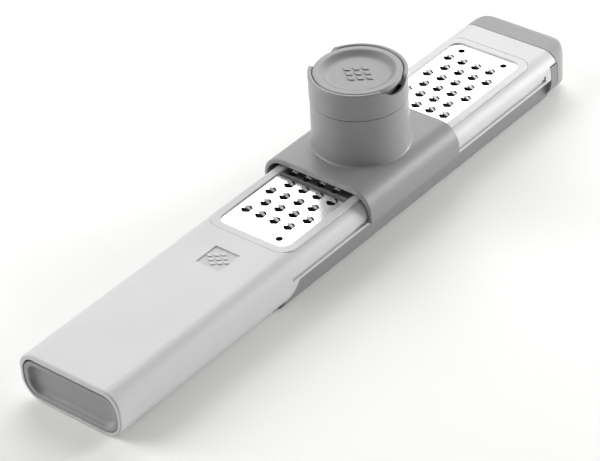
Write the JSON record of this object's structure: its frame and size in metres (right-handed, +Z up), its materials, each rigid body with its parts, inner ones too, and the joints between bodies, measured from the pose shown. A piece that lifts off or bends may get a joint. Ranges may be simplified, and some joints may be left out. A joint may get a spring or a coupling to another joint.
{
  "type": "hand grater with food holder",
  "caption": "Slim hand grater: hollow handle and open frame with a steel grating plate, a catch tray below and a food cup with a pusher that slides on rails.",
  "frame": {"origin": "on the resting plane, at the middle of the length and width", "axes": "+X from the handle to the tip, +Z up through the food cup, +Y to the left seen from the handle"},
  "size_m": [0.313, 0.0586, 0.0638],
  "materials": {
    "light_plastic": "fine satin moulding",
    "plate_steel": "bright fine grain",
    "soft_grey": "soft matt",
    "tray_plastic": "satin",
    "carriage_plastic": "fine satin moulding"
  },
  "bodies": {
    "body": {"handle_body": "light_plastic", "plate_bezel": "light_plastic", "grating_plate": "plate_steel", "end_cap": "soft_grey", "end_plug": "tray_plastic"},
    "tray": {"catch_tray": "tray_plastic", "tray_tip": "soft_grey"},
    "carriage": {"carriage": "carriage_plastic"},
    "collar": {"cup_collar": "carriage_plastic"},
    "pusher": {"pusher_cap": "carriage_plastic", "pusher_sleeve": "tray_plastic", "spike_plate": "tray_plastic"}
  },
  "joints": [
    {"name": "carriage_slide", "type": "slide", "parent": "body", "child": "carriage", "axis": [1, 0, 0], "range_m": [-0.048, 0.07]},
    {"name": "tray_slide", "type": "slide", "parent": "body", "child": "tray", "axis": [1, 0, 0], "range_m": [0, 0.19]},
    {"name": "collar_twist", "type": "hinge", "parent": "carriage", "child": "collar", "pos_m": [0.032, 0, 0.0546], "axis": [0, 0, 1], "range_deg": [0, 30]},
    {"name": "pusher_slide", "type": "slide", "parent": "collar", "child": "pusher", "axis": [0, 0, 1], "range_m": [0, 0.0305]}
  ]
}
